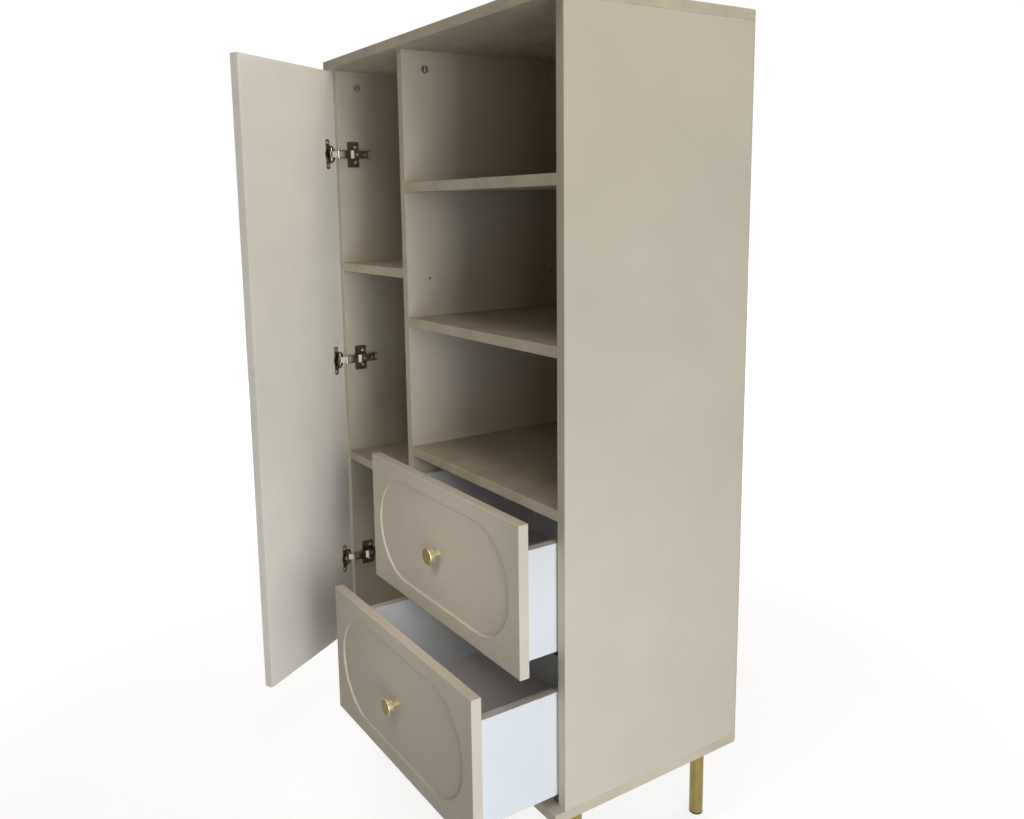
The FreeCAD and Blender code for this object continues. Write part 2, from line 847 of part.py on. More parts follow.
os.makedirs("parts", exist_ok=True)
for node, solid in build().items():
    solid.exportStep("parts/" + node + ".step")
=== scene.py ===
# %% [markdown]
# # A tall cabinet with a door, niches and drawers
# The solids of this cabinet come ready made, in metres and in their places. This lesson dresses them:
# it gives every board, fitting and leg the surface of its real material, adds the small shapes that
# the solids leave out, and then sets the light and the camera. Whatever Blender opens with is removed
# first, so that only the cabinet is there.

# %% Load the solids
import json
import math
import bmesh
import bpy
from mathutils import Matrix, Vector

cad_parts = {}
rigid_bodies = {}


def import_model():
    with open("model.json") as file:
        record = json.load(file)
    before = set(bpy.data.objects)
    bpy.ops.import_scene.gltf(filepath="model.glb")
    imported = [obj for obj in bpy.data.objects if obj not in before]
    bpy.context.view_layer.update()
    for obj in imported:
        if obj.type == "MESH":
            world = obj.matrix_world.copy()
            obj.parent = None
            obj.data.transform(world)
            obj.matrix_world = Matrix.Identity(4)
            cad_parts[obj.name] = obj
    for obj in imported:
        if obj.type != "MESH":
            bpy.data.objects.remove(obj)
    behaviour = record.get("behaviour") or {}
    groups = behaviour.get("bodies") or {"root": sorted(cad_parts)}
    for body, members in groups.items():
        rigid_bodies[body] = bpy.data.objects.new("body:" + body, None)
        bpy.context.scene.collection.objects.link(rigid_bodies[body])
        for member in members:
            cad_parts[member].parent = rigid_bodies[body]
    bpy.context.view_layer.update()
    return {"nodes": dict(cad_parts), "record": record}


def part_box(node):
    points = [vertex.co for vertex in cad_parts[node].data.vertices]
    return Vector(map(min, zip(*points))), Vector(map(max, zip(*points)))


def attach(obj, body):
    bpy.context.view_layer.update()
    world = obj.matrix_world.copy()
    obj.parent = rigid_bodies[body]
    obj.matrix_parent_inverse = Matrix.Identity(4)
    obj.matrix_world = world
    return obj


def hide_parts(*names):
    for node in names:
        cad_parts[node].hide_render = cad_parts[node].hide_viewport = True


for old in list(bpy.data.objects):
    bpy.data.objects.remove(old)
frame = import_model()
solids = frame["nodes"]
MM = 0.001
X, Y, Z = (1, 0, 0), (0, 1, 0), (0, 0, 1)

# %% [markdown]
# ## Helpers for materials
# Colours are easiest to choose as the hex values of a colour picker, but shaders count in linear
# light, so one function converts them. Another adds a node, sets it and links it, which keeps each
# material below to a handful of lines. Sizes of patterns are written in millimetres.

# %% Colours and nodes
def linear(text):
    """An sRGB hex colour as the linear RGBA of a shader."""
    parts = [int(text[i:i + 2], 16) / 255 for i in (1, 3, 5)]
    return tuple(p / 12.92 if p <= 0.04045 else ((p + 0.055) / 1.055) ** 2.4 for p in parts) + (1.0,)


def set_inputs(tree, node, inputs):
    """Sets the inputs of a node, or links them where the value is another node's socket."""
    for name, value in dict(inputs).items():
        if isinstance(value, bpy.types.NodeSocket):
            tree.links.new(value, node.inputs[name])
        else:
            node.inputs[name].default_value = value


def add(tree, kind, inputs=(), **settings):
    """Adds one node with its settings and inputs."""
    made = tree.nodes.new(kind if "Node" in kind else "ShaderNode" + kind)
    for name, value in settings.items():
        setattr(made, name, value)
    set_inputs(tree, made, inputs)
    return made


def per_mm(size):
    """The scale at which a texture's features have this size in millimetres."""
    return 1.0 / (size * MM)


def new_material(name):
    """An empty material with its node tree and its main shader."""
    made = bpy.data.materials.new(name)
    made.use_nodes = True
    tree = made.node_tree
    tree.nodes.clear()
    shader = add(tree, "BsdfPrincipled")
    add(tree, "OutputMaterial", {"Surface": shader.outputs["BSDF"]})
    return made, tree, shader


print("white is", linear("#FFFFFF"))

# %% [markdown]
# ## Uneven tone
# No sheet, casting or plated tube has exactly one colour all over. A slow noise, stretched to its full
# range, makes any colour a little darker in some patches and a little paler in others.

# %% A colour that drifts
PATCH_RANGE = (0.3, 0.7)  # nearly all of the noise lies between these values
FINE_DETAIL = 2.0


def toned(tree, place, colour, patch, tones, detail=FINE_DETAIL):
    """A colour that drifts between two tones, over patches of a size in millimetres."""
    patches = add(tree, "TexNoise", {"Vector": place, "Scale": per_mm(patch), "Detail": detail})
    tone = add(tree, "MapRange", {"Value": patches.outputs["Fac"],
                                  "From Min": PATCH_RANGE[0], "From Max": PATCH_RANGE[1],
                                  "To Min": tones[0], "To Max": tones[1]})
    return add(tree, "VectorMath", {0: colour, "Scale": tone.outputs[0]}, operation="SCALE").outputs[0]


print("patches are read from", PATCH_RANGE[0], "to", PATCH_RANGE[1])

# %% [markdown]
# ## Foil-faced board
# The case is particle board faced with a matt, warm grey-beige decor foil and edged with a strip of
# ABS. The foil is pressed against an embossed plate, so it has a fine pebble in it, and it reflects
# as a soft haze. A real sheet also drifts a little in tone over a hand's width. A picture of foil could
# be wrapped round each board, but noise that is measured in millimetres needs no wrapping and stays
# sharp close up. Which faces are edges is read from the direction that a face looks in, so one recipe
# serves lying boards, standing boards and fronts.

# %% The recipe for a board
PEBBLE = 0.9  # the real pebble is about 0.3 mm, drawn three times as coarse so that it shows
PEBBLE_RELIEF = {"Strength": 0.10, "Distance": 0.1 * MM}
EVEN_FOIL = {"patch": 160.0, "tones": (0.96, 1.03)}
# painted sheen: blotches of darker and paler colour on lying boards stand in for a blotchy reflection
BLOTCHY_PAINTED_SHEEN = {"patch": 60.0, "tones": (0.86, 1.08)}
FOIL_DETAIL = 3.0
MATT = 0.6
HAZE = 0.08
WIDE = 0.8  # a face is foiled if it looks along the side at least this squarely
PLASTIC_IOR = 1.5


def foil_board(name, foil, other, side, both=True, rough=MATT, drift=EVEN_FOIL):
    """Decor foil on the faces that look along a side, and another colour on the other faces."""
    made, tree, shader = new_material(name)
    where = add(tree, "TexCoord")
    place = where.outputs["Object"]
    look = add(tree, "VectorMath", {0: where.outputs["Normal"], 1: side}, operation="DOT_PRODUCT")
    along = look.outputs["Value"]
    if both:
        along = add(tree, "Math", {0: along}, operation="ABSOLUTE").outputs[0]
    wide = add(tree, "Math", {0: along, 1: WIDE}, operation="GREATER_THAN")
    plain = add(tree, "Mix", {"Factor": wide.outputs[0], 6: linear(other), 7: linear(foil)},
                data_type="RGBA")
    pebble = add(tree, "TexNoise", {"Vector": place, "Scale": per_mm(PEBBLE), "Detail": FINE_DETAIL})
    haze = add(tree, "MapRange", {"Value": pebble.outputs["Fac"],
                                  "To Min": rough - HAZE, "To Max": rough + HAZE})
    relief = add(tree, "Bump", {"Height": pebble.outputs["Fac"], **PEBBLE_RELIEF})
    colour = toned(tree, place, plain.outputs[2], detail=FOIL_DETAIL, **drift)
    set_inputs(tree, shader, {"Base Color": colour, "Roughness": haze.outputs[0],
                              "Normal": relief.outputs["Normal"], "IOR": PLASTIC_IOR})
    return made


print("foil pebble:", PEBBLE, "mm")

# %% [markdown]
# ## The boards of this cabinet
# The sides, the top and the fronts share one foil. The shelves are darker: partly a browner sheet, partly
# painted shade of the niches they lie in. Boards that lie flat carry blotchier tone than standing ones, a
# painted blotchy sheen. The drawer boxes are faced with white melamine and the door has a white liner
# inside, so both look clean beside the warm case. Thin hardboard closes the back and the drawers: it is
# printed where it shows inside, and brown where it is left raw.

# %% Board materials
# the shelf colour is darker than the case foil: partly a browner sheet, partly painted shade of the niches
CASHMERE, SHELF_BROWN_AND_PAINTED_SHADE, STRIP, FRONT_EDGE = "#C9C2B1", "#ADA18D", "#C7BEA8", "#CCC5B4"
MELAMINE, MELAMINE_EDGE, LINER = "#DDE3E7", "#CFCBC4", "#F0EFE6"
PRINT, RAW_FLOOR, RAW_BACK = "#DEDBDC", "#8A6B4A", "#8A6A48"
SATIN, PRINT_SHEEN = 0.38, 0.45

# matt foil gives a quiet beige with a haze and no mirror in it, and its edge strip is a touch yellower
boards = {
    0: foil_board("particle board, matt decor foil, standing", CASHMERE, STRIP, X),
    1: foil_board("MDF, pressed foil, front", CASHMERE, FRONT_EDGE, Y),
    # lying boards: their blotchy tone is painted sheen
    2: foil_board("particle board, matt decor foil, lying", CASHMERE, STRIP, Z, drift=BLOTCHY_PAINTED_SHEEN),
}
# the shelves: darkened partly with painted shade of the niches, and blotched with painted sheen
shelf_board = foil_board("particle board, matt decor foil, shelf", SHELF_BROWN_AND_PAINTED_SHADE, STRIP, Z, drift=BLOTCHY_PAINTED_SHEEN)

# melamine is a hard resin: a cool white with a satin sheen that picks up the light at a low angle
white_board = foil_board("particle board, white melamine", MELAMINE, MELAMINE_EDGE, X, rough=SATIN)
white_back = foil_board("particle board, white melamine, back", MELAMINE, MELAMINE_EDGE, Y, rough=SATIN)

# hardboard shows a smooth print inside and a plain brown where it is left raw
drawer_floor = foil_board("hardboard, white print", PRINT, RAW_FLOOR, Z, rough=PRINT_SHEEN)
back_board = foil_board("hardboard, decor print inside, raw outside", CASHMERE, RAW_BACK, (0, -1, 0),
                        both=False)

# the door stands open at a slant, so its own widest face tells which way the liner looks
door_face = max(solids["door_panel"].data.polygons, key=lambda face: face.area * (face.normal.x > 0))
door_inward = tuple(door_face.normal)
door_outward = tuple(-c for c in door_inward)
door_board = foil_board("MDF, pressed foil outside, white liner", CASHMERE, LINER, door_outward,
                        both=False)
print("the open door's liner looks along", [round(c, 2) for c in door_inward])

# %% [markdown]
# ## Plated metals
# A metal takes all its colour from what it reflects, so most of the work is in roughness and in fine
# lines. The legs are drawn tube with a satin brass plate, so fine lines run along them. The hinges are
# pressed steel with a nickel plate, and the rails, screws and cams have a bare zinc finish. Noise that
# is stretched along one direction makes such lines without any picture.

# %% Lined metals
METAL_DRIFT = {"patch": 12.0, "tones": (0.9, 1.06)}
LINE_GLOSS = (0.75, 1.3)  # times the roughness, in and between the lines
LINE_RELIEF = {"Strength": 0.08, "Distance": 0.05 * MM}


def lined_metal(name, colour, rough, line, stretch):
    """A plated metal with fine polishing lines, stretched along the directions given."""
    made, tree, shader = new_material(name)
    place = add(tree, "TexCoord").outputs["Object"]
    drawn = add(tree, "Mapping", {"Vector": place, "Scale": stretch})
    lines = add(tree, "TexNoise", {"Vector": drawn.outputs[0], "Scale": per_mm(line),
                                   "Detail": FINE_DETAIL})
    gloss = add(tree, "MapRange", {"Value": lines.outputs["Fac"],
                                   "To Min": rough * LINE_GLOSS[0], "To Max": rough * LINE_GLOSS[1]})
    relief = add(tree, "Bump", {"Height": lines.outputs["Fac"], **LINE_RELIEF})
    shade = toned(tree, place, linear(colour)[:3], **METAL_DRIFT)
    set_inputs(tree, shader, {"Base Color": shade, "Metallic": 1.0,
                              "Roughness": gloss.outputs[0], "Normal": relief.outputs["Normal"]})
    return made


TUBE_LINE, PLATE_LINE = 0.5, 0.8  # real polishing lines are about 0.1 mm, drawn coarser so that they show

# satin brass: a broad, soft, golden streak down each leg
drawn_brass = lined_metal("brass plate, drawn tube, satin", "#94844F", 0.36, TUBE_LINE, (1.0, 1.0, 0.03))
# nickel: a warm, dark mirror with small sharp lights
nickel = lined_metal("nickel plate, pressed steel", "#B4AC9C", 0.17, PLATE_LINE, (1.0, 1.0, 0.2))
# zinc: a pale grey shine, a little cloudy
zinc = lined_metal("zinc plate, bright", "#C2C2BC", 0.28, PLATE_LINE, (1.0, 1.0, 1.0))
print("lined metals: brass, nickel and zinc")

# %% [markdown]
# ## Turned knobs
# The knobs are turned on a lathe and plated with brass, so fine rings run round them. The flat face is
# painted a dark brown, a painted reflection of a dark room, and the rim and stem a pale cream, a painted
# highlight; the face is also rougher than the rim. Rings need a middle and an axis, and each knob's are
# read from its own box, so every knob has a material of its own.

# %% Turned brass
RING = 0.5  # real turning marks are about 0.1 mm apart, drawn five times as coarse so that they show
RING_DETAIL = 1.0
RING_GLOSS = (0.8, 1.2)  # times the roughness, in and between the rings
RING_RELIEF = {"Strength": 0.10, "Distance": 0.05 * MM}
KNOB_DRIFT = {"patch": 9.0, "tones": (0.92, 1.05)}
RIM_TO_FACE = (0.6, 0.95)  # how squarely a spot looks along the axis, from rim to face
# the face's dark brown is a painted reflection of a dark room, and the rim's pale cream is a painted
# highlight
FACE_PAINTED_DARK_REFLECTION = ("#7E6D42", 0.5)
RIM_PAINTED_HIGHLIGHT = ("#F2E7BE", 0.3)


def turned_metal(name, face, rim, middle, axis):
    """A metal turned on a lathe: rings round an axis, a flat face painted dark as a painted reflection,
    and a rim painted pale as a painted highlight.
    """
    made, tree, shader = new_material(name)
    where = add(tree, "TexCoord")
    place = where.outputs["Object"]
    look = add(tree, "VectorMath", {0: where.outputs["Normal"], 1: axis}, operation="DOT_PRODUCT")
    flat = add(tree, "Math", {0: look.outputs["Value"]}, operation="ABSOLUTE")
    is_face = add(tree, "MapRange", {"Value": flat.outputs[0],
                                     "From Min": RIM_TO_FACE[0], "From Max": RIM_TO_FACE[1]})
    # painted reflection and painted highlight: the face takes the dark colour, the rim and stem the pale
    # one
    colour = add(tree, "Mix", {"Factor": is_face.outputs[0], 6: linear(rim[0]), 7: linear(face[0])},
                 data_type="RGBA")
    rough = add(tree, "MapRange", {"Value": is_face.outputs[0], "To Min": rim[1], "To Max": face[1]})
    arm = add(tree, "VectorMath", {0: place, 1: middle}, operation="SUBTRACT").outputs[0]
    out = add(tree, "VectorMath", {0: arm, 1: axis}, operation="CROSS_PRODUCT").outputs[0]
    radius = add(tree, "VectorMath", {0: out}, operation="LENGTH").outputs["Value"]
    along = add(tree, "VectorMath", {0: arm, 1: axis}, operation="DOT_PRODUCT").outputs["Value"]
    pair = add(tree, "CombineXYZ", {"X": radius, "Y": along})
    rings = add(tree, "TexNoise", {"Vector": pair.outputs[0], "Scale": per_mm(RING),
                                   "Detail": RING_DETAIL})
    wear = add(tree, "MapRange", {"Value": rings.outputs["Fac"],
                                  "To Min": RING_GLOSS[0], "To Max": RING_GLOSS[1]})
    gloss = add(tree, "Math", {0: rough.outputs[0], 1: wear.outputs[0]}, operation="MULTIPLY")
    relief = add(tree, "Bump", {"Height": rings.outputs["Fac"], **RING_RELIEF})
    shade = toned(tree, place, colour.outputs[2], **KNOB_DRIFT)
    set_inputs(tree, shader, {"Base Color": shade, "Metallic": 1.0,
                              "Roughness": gloss.outputs[0], "Normal": relief.outputs["Normal"]})
    return made


# turned brass: a dark disc with a thin bright line round it, both painted into the colour: a painted dark
# reflection and a painted highlight
turned_brass = {}
for name in ("door_knob", "upper_drawer_knob", "lower_drawer_knob"):
    low, high = (Vector(corner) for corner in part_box(name))
    axis = door_inward if name == "door_knob" else Y
    turned_brass[name] = turned_metal("brass plate, turned, " + name, FACE_PAINTED_DARK_REFLECTION, RIM_PAINTED_HIGHLIGHT,
                                      (low + high) / 2, axis)
print("turned knobs:", len(turned_brass))

# %% [markdown]
# ## Plastic and raw wood
# The feet are moulded polyethylene and the drawer catches moulded nylon. Their tools are spark eroded,
# which leaves a fine, even grit. The dowels are planed beech with a straight grain. All of these are
# small and half hidden, so one noise for the grit and a stretched one for the grain are enough.

# %% Plastic and wood
GRIT = 0.6  # the real grit is about 0.1 mm, drawn coarser so that it shows
PLASTIC_DRIFT = {"patch": 14.0, "tones": (0.9, 1.1)}
GRAIN, GRAIN_STRETCH, GRAIN_DETAIL = 1.5, (1.0, 1.0, 0.1), 4.0
PLANED = 0.7
SMALL_RELIEF = {"Strength": 0.2, "Distance": 0.1 * MM}


def moulded(name, colour, rough):
    """A moulded plastic with the fine grit of a spark-eroded tool."""
    made, tree, shader = new_material(name)
    place = add(tree, "TexCoord").outputs["Object"]
    grit = add(tree, "TexNoise", {"Vector": place, "Scale": per_mm(GRIT), "Detail": FINE_DETAIL})
    haze = add(tree, "MapRange", {"Value": grit.outputs["Fac"],
                                  "To Min": rough - HAZE, "To Max": rough + HAZE})
    relief = add(tree, "Bump", {"Height": grit.outputs["Fac"], **SMALL_RELIEF})
    shade = toned(tree, place, linear(colour)[:3], **PLASTIC_DRIFT)
    set_inputs(tree, shader, {"Base Color": shade, "Roughness": haze.outputs[0],
                              "Normal": relief.outputs["Normal"], "IOR": PLASTIC_IOR})
    return made


def planed_wood(name, pale, dark):
    """Straight-grained wood, with upright dark streaks."""
    made, tree, shader = new_material(name)
    place = add(tree, "TexCoord").outputs["Object"]
    drawn = add(tree, "Mapping", {"Vector": place, "Scale": GRAIN_STRETCH})
    grain = add(tree, "TexNoise", {"Vector": drawn.outputs[0], "Scale": per_mm(GRAIN),
                                   "Detail": GRAIN_DETAIL})
    colour = add(tree, "ValToRGB", {"Fac": grain.outputs["Fac"]})
    colour.color_ramp.elements[0].color = linear(dark)
    colour.color_ramp.elements[1].color = linear(pale)
    relief = add(tree, "Bump", {"Height": grain.outputs["Fac"], **SMALL_RELIEF})
    set_inputs(tree, shader, {"Base Color": colour.outputs[0], "Roughness": PLANED, "IOR": PLASTIC_IOR,
                              "Normal": relief.outputs["Normal"]})
    return made


# polyethylene is waxy and nearly black, nylon is a dull mid grey, and beech is pale with brown flecks
foot_plastic = moulded("polyethylene, moulded", "#2B2A28", 0.5)
clip_plastic = moulded("nylon, moulded", "#8D8E90", 0.45)
beech = planed_wood("beech, planed", "#D2AE7C", "#B48A58")
print("plastics and wood: polyethylene, nylon and beech")

# %% [markdown]
# ## Which solid gets which material
# The record names a slot for every solid, so most finishes follow from that. Boards also need to know
# which way they lie, and their thinnest side tells it. Only the drawer backs, the door with its liner, the
# shelves, browner and darkened with painted shade, and the knobs are picked out by name.

# %% Dress the solids
BY_SLOT = {
    "brass": drawn_brass, "nickel_steel": nickel, "zinc_steel": zinc, "glide_plastic": foot_plastic,
    "clip_plastic": clip_plastic, "dowel_wood": beech, "white_board": white_board,
    "drawer_floor_board": drawer_floor, "back_hardboard": back_board,
}
slots = {part["node"]: part["material_slot"] for part in frame["record"]["subparts"]}


def thin_axis_of(name):
    """The axis along which a solid is thinnest."""
    low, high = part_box(name)
    sizes = [high[i] - low[i] for i in range(3)]
    return sizes.index(min(sizes))


for name, solid in solids.items():
    finish = BY_SLOT.get(slots[name]) or boards[thin_axis_of(name)]
    if name.endswith("drawer_back"):
        finish = white_back
    if name == "door_panel":
        finish = door_board
    if name == "drawer_bay_top" or "_shelf_" in name:
        finish = shelf_board
    solid.material_slots[0].material = turned_brass.get(name, finish)
print("dressed", len(solids), "solids")

# %% [markdown]
# ## Which edges to ease
# A sawn and edged board has its arrises broken by a scraper, about half a millimetre, and that thin
# line is what catches the light. A bevel modifier can do it, but it would also chew up the rims of the
# many small bores. So a short geometry node tree first joins the faces and writes a bevel weight on
# the long, square arrises alone. The lip of the sunk oval fields, where the pressed foil bends over a
# slope, is told by its flatter angle and gets a fuller round.

# %% Mark the long arrises of the boards
ARRIS_SHARE = 0.5  # of the width of a lip
JOIN = 0.01 * MM
LONG = 9.0 * MM  # the shortest arris that is eased
SHORT = 1.0 * MM  # the shortest edge of a lip that is eased
SHARP = math.radians(30)
SQUARE_ANGLES = (math.radians(80), math.radians(110))
LIP_ANGLES = (math.radians(52), math.radians(76))


def between(tree, value, limits):
    """One where a value lies between two limits, and nought elsewhere."""
    over = add(tree, "Math", {0: value, 1: limits[0]}, operation="GREATER_THAN")
    under = add(tree, "Math", {0: value, 1: limits[1]}, operation="LESS_THAN")
    both = add(tree, "Math", {0: over.outputs[0], 1: under.outputs[0]}, operation="MULTIPLY")
    return both.outputs[0]


marks = bpy.data.node_groups.new("long arrises", "GeometryNodeTree")
for way in ("INPUT", "OUTPUT"):
    marks.interface.new_socket("Geometry", in_out=way, socket_type="NodeSocketGeometry")
given = add(marks, "NodeGroupInput").outputs[0]
joined = add(marks, "GeometryNodeMergeByDistance", {"Geometry": given, "Distance": JOIN})
ends = add(marks, "GeometryNodeInputMeshEdgeVertices")
bend = add(marks, "GeometryNodeInputMeshEdgeAngle")
angle, fold = bend.outputs["Unsigned Angle"], bend.outputs["Signed Angle"]
span = add(marks, "VectorMath", {0: ends.outputs["Position 1"], 1: ends.outputs["Position 2"]},
           operation="DISTANCE").outputs["Value"]
sharp = add(marks, "Math", {0: angle, 1: SHARP}, operation="GREATER_THAN")
lengthy = add(marks, "Math", {0: span, 1: LONG}, operation="GREATER_THAN")
square = add(marks, "Math", {0: lengthy.outputs[0], 1: between(marks, angle, SQUARE_ANGLES)},
             operation="MULTIPLY")
arris = add(marks, "Math", {0: square.outputs[0], 1: ARRIS_SHARE}, operation="MULTIPLY")
enough = add(marks, "Math", {0: span, 1: SHORT}, operation="GREATER_THAN")
lip = add(marks, "Math", {0: enough.outputs[0], 1: between(marks, fold, LIP_ANGLES)},
          operation="MULTIPLY")
weight = add(marks, "Math", {0: arris.outputs[0], 1: lip.outputs[0]}, operation="MAXIMUM")
crisp = add(marks, "GeometryNodeStoreNamedAttribute",
            {"Geometry": joined.outputs[0], "Name": "sharp_edge", "Value": sharp.outputs[0]},
            data_type="BOOLEAN", domain="EDGE")
weighed = add(marks, "GeometryNodeStoreNamedAttribute",
              {"Geometry": crisp.outputs[0], "Name": "bevel_weight_edge", "Value": weight.outputs[0]},
              data_type="FLOAT", domain="EDGE")
add(marks, "NodeGroupOutput", {0: weighed.outputs[0]})
print("the tree that marks arrises has", len(marks.nodes), "nodes")

# %% [markdown]
# ## Ease the edges
# With the weights in place, one bevel does both jobs: it is as wide as a lip, and an arris takes half
# of that. A last modifier keeps the wide faces flat in the shading.

# %% Bevel the boards
LIP = 1.3 * MM
LIP_SEGMENTS = 3
eased = [name for name in solids if slots[name] in ("cashmere_board", "white_board")]
for name in eased:
    stack = solids[name].modifiers
    stack.new("mark", "NODES").node_group = marks
    ease = stack.new("ease", "BEVEL")
    ease.width, ease.segments = LIP, LIP_SEGMENTS
    ease.limit_method = "WEIGHT"
    ease.use_clamp_overlap = False
    stack.new("even", "WEIGHTED_NORMAL").keep_sharp = True
print("eased", len(eased), "boards")

# %% [markdown]
# ## Screws
# Every fitting is held by pan-head screws with a cross recess. The solids give each one only a stem
# and a flat disc. A screw is a turned form, so it is built from rings of points round its axis: thread
# ridges, a rounded head and a flat top. The cross is cut by filling the top between its rim and the
# twelve corners of the cross, and sinking a smaller cross below.

# %% A pan-head screw in millimetres
TURNS = 24
TIP = (0.4, -12.0)
RIDGES, FIRST_RIDGE, PITCH = 8, -11.2, 1.4
CORE, CREST = 1.3, 1.9
HEAD = 1.4
HEAD_PROFILE = [(CREST, 0.0), (4.0, 0.0), (4.0, 0.45), (3.75, 0.9), (3.3, 1.25), (2.8, HEAD)]
thread = [(radius, FIRST_RIDGE + PITCH * step + lift)
          for step in range(RIDGES) for radius, lift in ((CORE, 0.0), (CREST, PITCH / 2))]
PROFILE = [TIP] + thread + HEAD_PROFILE
CROSS = [(2.1, -0.5), (2.1, 0.5), (0.5, 0.5)]
CROSS_DEPTH, CROSS_TAPER = 0.9, 0.75


def turned_rings(work, profile):
    """Rings of points round the z axis, one for each radius and height, joined by faces."""
    made = []
    angles = [2 * math.pi * step / TURNS for step in range(TURNS)]
    for radius, height in profile:
        made.append([work.verts.new((radius * math.cos(a), radius * math.sin(a), height)) for a in angles])
    for below, above in zip(made, made[1:]):
        for here in range(TURNS):
            after = (here + 1) % TURNS
            work.faces.new((below[here], below[after], above[after], above[here]))
    return made


def screw_mesh(profile, arm=1.0):
    """One screw in millimetres, with its seat at the origin and its head along z."""
    work = bmesh.new()
    rings = turned_rings(work, profile)
    work.faces.new(rings[0][::-1])
    top = profile[-1][1]
    floor_of_cross = top - CROSS_DEPTH * arm
    corners = [Matrix.Rotation(math.pi / 2 * quarter, 3, "Z") @ Vector((x * arm, y * arm, top))
               for quarter in range(4) for x, y in CROSS]
    mouth = [work.verts.new(corner) for corner in corners]
    bed = [work.verts.new((c.x * CROSS_TAPER, c.y * CROSS_TAPER, floor_of_cross)) for c in corners]
    around = [work.edges.get((rings[-1][i - 1], rings[-1][i])) for i in range(TURNS)]
    around += [work.edges.new((mouth[i - 1], mouth[i])) for i in range(len(mouth))]
    bmesh.ops.triangle_fill(work, use_beauty=True, edges=around, normal=Z)
    for here in range(len(mouth)):
        after = (here + 1) % len(mouth)
        work.faces.new((mouth[here], mouth[after], bed[after], bed[here]))
    work.faces.new(bed)
    return work


print("one screw has", len(screw_mesh(PROFILE).faces), "faces")

# %% [markdown]
# ## A set of screws
# Screws that hold the same kind of fitting share one piece, as they do in the ready-made solids. On the
# real object no two screws end up at the same angle, so each one is turned further than the last.

# %% Many screws in one piece
TWIST = 1.1  # radians
CREASE = math.radians(35)


def place_screws(name, places, profile, finish, arm=1.0):
    """One piece that holds a screw at every seat."""
    whole = bmesh.new()
    for count, (seat, outward) in enumerate(places):
        one = screw_mesh(profile, arm)
        turn = outward.to_track_quat("Z", "Y").to_matrix().to_4x4()
        turn = turn @ Matrix.Rotation(TWIST * count, 4, "Z")
        one.transform(Matrix.Translation(seat) @ turn @ Matrix.Scale(MM, 4))
        mesh = bpy.data.meshes.new("screw")
        one.to_mesh(mesh)
        whole.from_mesh(mesh)
        bpy.data.meshes.remove(mesh)
        one.free()
    mesh = bpy.data.meshes.new(name)
    whole.to_mesh(mesh)
    whole.free()
    mesh.shade_smooth()
    mesh.set_sharp_from_angle(angle=CREASE)
    mesh.materials.append(finish)
    piece = bpy.data.objects.new(name, mesh)
    bpy.context.scene.collection.objects.link(piece)
    return piece


print("each screw is turned", round(math.degrees(TWIST)), "degrees further")

# %% [markdown]
# ## Where the screws sit
# The plain screws of the solids already have the right places. Their points are gathered into groups
# that lie close together, one for each screw, and the wider end of a group is its head.

# %% Find the screws and stand the new ones in for them
REACH = 16.0 * MM  # the points of one screw lie this close together
END = 0.5 * MM  # how much of each end is measured for its width


def screw_places(name, axis):
    """The seat and the outward direction of every screw in a solid."""
    groups = []
    for vertex in solids[name].data.vertices:
        near = [group for group in groups if (group[0] - vertex.co).length < REACH]
        if near:
            near[0].append(vertex.co)
        else:
            groups.append([vertex.co])
    axis = Vector(axis)
    across = axis.orthogonal().normalized()
    ways = (across, axis.cross(across))
    found = []
    for group in groups:
        middle = Vector()
        for way in ways:
            reach = [point.dot(way) for point in group]
            middle += way * (min(reach) + max(reach)) / 2
        heights = [point.dot(axis) for point in group]
        widths = [(point - middle - axis * height).length for point, height in zip(group, heights)]
        wide_low = max(w for w, h in zip(widths, heights) if h < min(heights) + END)
        wide_high = max(w for w, h in zip(widths, heights) if h > max(heights) - END)
        if wide_high > wide_low:
            found.append((middle + axis * (max(heights) - HEAD * MM), axis))
        else:
            found.append((middle + axis * (min(heights) + HEAD * MM), -axis))
    return found


bodies = frame["record"]["behaviour"]["bodies"]
body_with = {node: body for body, nodes in bodies.items() for node in nodes}
SCREW_AXES = {"hinge_plate_screws": X, "hinge_cup_screws": door_inward, "leg_screws": Z,
              "runner_screws": X}
for name, axis in SCREW_AXES.items():
    places = screw_places(name, axis)
    piece = place_screws(name + "_crossed", places, PROFILE, BY_SLOT[slots[name]])
    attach(piece, body_with[name])
    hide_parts(name)
    print(name, len(places))

# %% [markdown]
# ## Adjusting screws of the hinges
# Each hinge arm carries two small screws, one that shifts the door sideways and one that locks the arm
# on its plate. They could be placed by numbers alone, but a ray sent at the arm finds its face, so the
# heads sit on it wherever the arm is.

# %% Adjusting screws
ADJUSTER = [(2.0, -0.6), (3.3, -0.6), (3.3, 0.3), (3.0, 0.75), (2.4, 0.9)]
ADJUSTER_CROSS = 0.8
STEPS = (-4.0 * MM, 16.0 * MM)  # along the arm, from the screws of its plate
TOWARDS_ARM = Vector((-1, 0, 0))
seats = sorted((seat for seat, outward in screw_places("hinge_plate_screws", X)), key=lambda seat: seat.z)
found = []
for lower, upper in zip(seats[::2], seats[1::2]):
    for step in STEPS:
        start = Vector((0.0, lower.y + step, (lower.z + upper.z) / 2))
        met, place, normal, face = solids["hinge_arms"].ray_cast(start, TOWARDS_ARM)
        if met:
            found.append((place, Vector(X)))
piece = place_screws("hinge_adjusting_screws", found, ADJUSTER, zinc, arm=ADJUSTER_CROSS)
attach(piece, "case")
print("adjusting screws:", [[round(c / MM, 1) for c in place] for place, outward in found])

# %% [markdown]
# ## Floor
# The cabinet stands on a plain pale floor. The camera sees the floor and the world as white, and so
# do reflections, while the floor keeps the shadow of the cabinet. A lit floor alone would look grey, so
# it also glows: less close to the cabinet, where lamplight adds to it, and fully further away.

